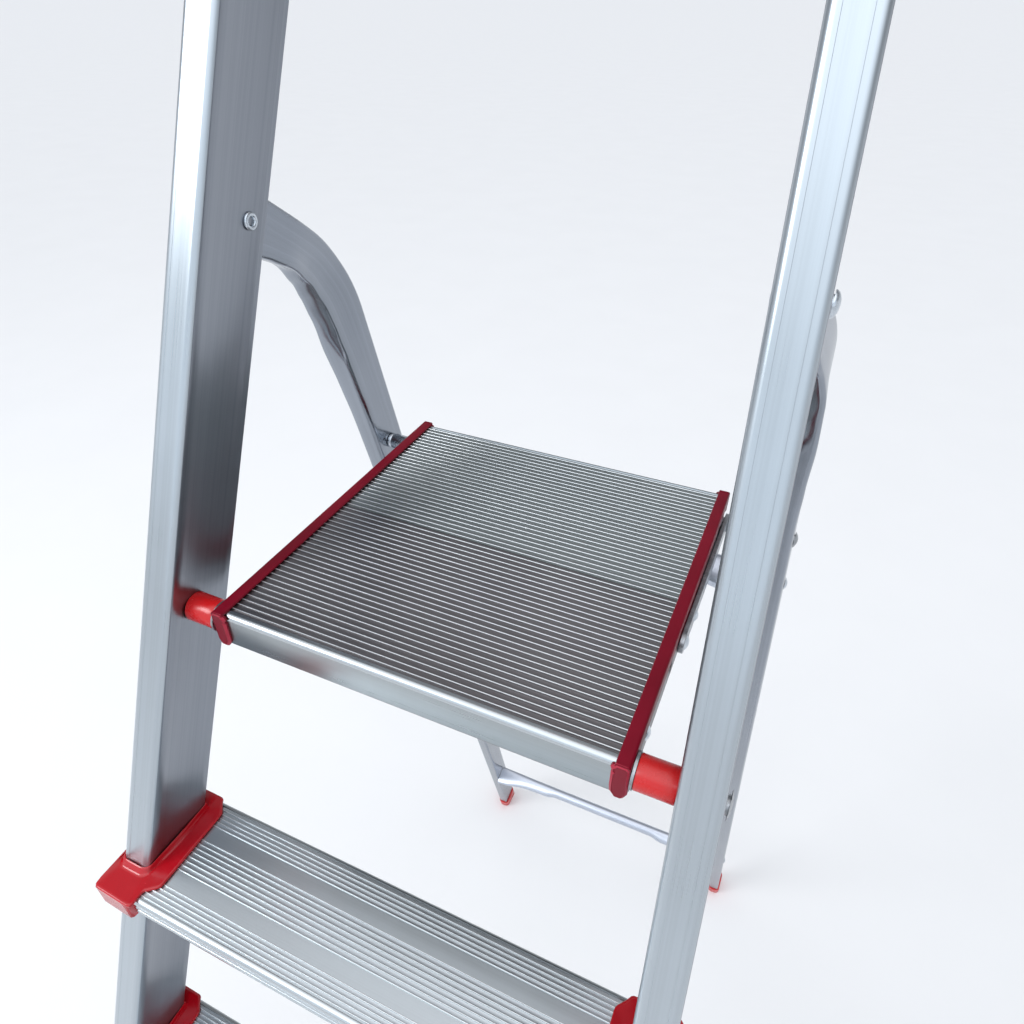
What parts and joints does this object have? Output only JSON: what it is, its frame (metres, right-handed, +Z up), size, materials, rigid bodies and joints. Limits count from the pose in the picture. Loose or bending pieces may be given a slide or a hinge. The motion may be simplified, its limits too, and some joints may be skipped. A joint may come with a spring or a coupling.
{
  "type": "platform stepladder",
  "caption": "Folding aluminium platform stepladder with red plastic fittings, ribbed treads, tall hand rails and a bent-leg rear frame.",
  "frame": {"origin": "centre of the ladder's footprint, on the ground", "axes": "+X to the right as seen by a person about to climb, +Y from the climbing side to the rear frame, +Z up"},
  "size_m": [0.5158, 1.2364, 1.8687],
  "materials": {
    "profile_aluminium": "satin",
    "ribbed_aluminium": "satin",
    "zinc_steel": "satin",
    "red_plastic": "gloss",
    "edging_plastic": "matte"
  },
  "bodies": {
    "front_frame": {"left_stile": "profile_aluminium", "right_stile": "profile_aluminium", "step_1": "ribbed_aluminium", "step_2": "ribbed_aluminium", "step_3": "ribbed_aluminium", "step_4": "ribbed_aluminium", "step_5": "ribbed_aluminium", "step_6": "ribbed_aluminium", "left_step_collars": "red_plastic", "right_step_collars": "red_plastic", "left_step_screws": "zinc_steel", "right_step_screws": "zinc_steel", "left_front_foot": "red_plastic", "right_front_foot": "red_plastic", "top_rail": "red_plastic", "top_rail_screws": "zinc_steel", "platform_pivot_rod": "zinc_steel", "left_platform_spacer": "red_plastic", "right_platform_spacer": "red_plastic", "platform_pivot_washers": "zinc_steel", "leg_pivot_rivets": "zinc_steel"},
    "platform": {"front_plank": "ribbed_aluminium", "rear_plank": "ribbed_aluminium", "left_edging": "edging_plastic", "right_edging": "edging_plastic", "left_side_bar": "zinc_steel", "right_side_bar": "zinc_steel", "side_bar_rivets": "zinc_steel"},
    "rear_frame": {"left_rear_leg": "profile_aluminium", "right_rear_leg": "profile_aluminium", "left_rear_foot": "red_plastic", "right_rear_foot": "red_plastic", "upper_crossbar": "profile_aluminium", "lower_crossbar": "profile_aluminium", "crossbar_rivets": "zinc_steel", "rear_axle": "zinc_steel", "left_axle_spacer": "zinc_steel", "right_axle_spacer": "zinc_steel"},
    "links": {"left_link": "zinc_steel", "right_link": "zinc_steel", "link_pivot_rivets": "zinc_steel", "link_stop_rivets": "zinc_steel"}
  },
  "joints": [
    {"name": "rear_frame_fold", "type": "hinge", "parent": "front_frame", "child": "rear_frame", "pos_m": [0, 0.0179, 1.4642], "axis": [-1, 0, 0], "range_deg": [0, 41.4]},
    {"name": "platform_fold", "type": "hinge", "parent": "front_frame", "child": "platform", "pos_m": [0, -0.0807, 1.2571], "axis": [1, 0, 0], "range_deg": [0, 67.95]},
    {"name": "link_fold", "type": "hinge", "parent": "rear_frame", "child": "links", "pos_m": [0, 0.1606, 1.2439], "axis": [-1, 0, 0], "range_deg": [0, 36.69]}
  ],
  "couplings": [
    {"joint": "platform_fold", "follows": "rear_frame_fold", "ratio": 1.6401},
    {"joint": "link_fold", "follows": "rear_frame_fold", "ratio": 0.88501}
  ]
}
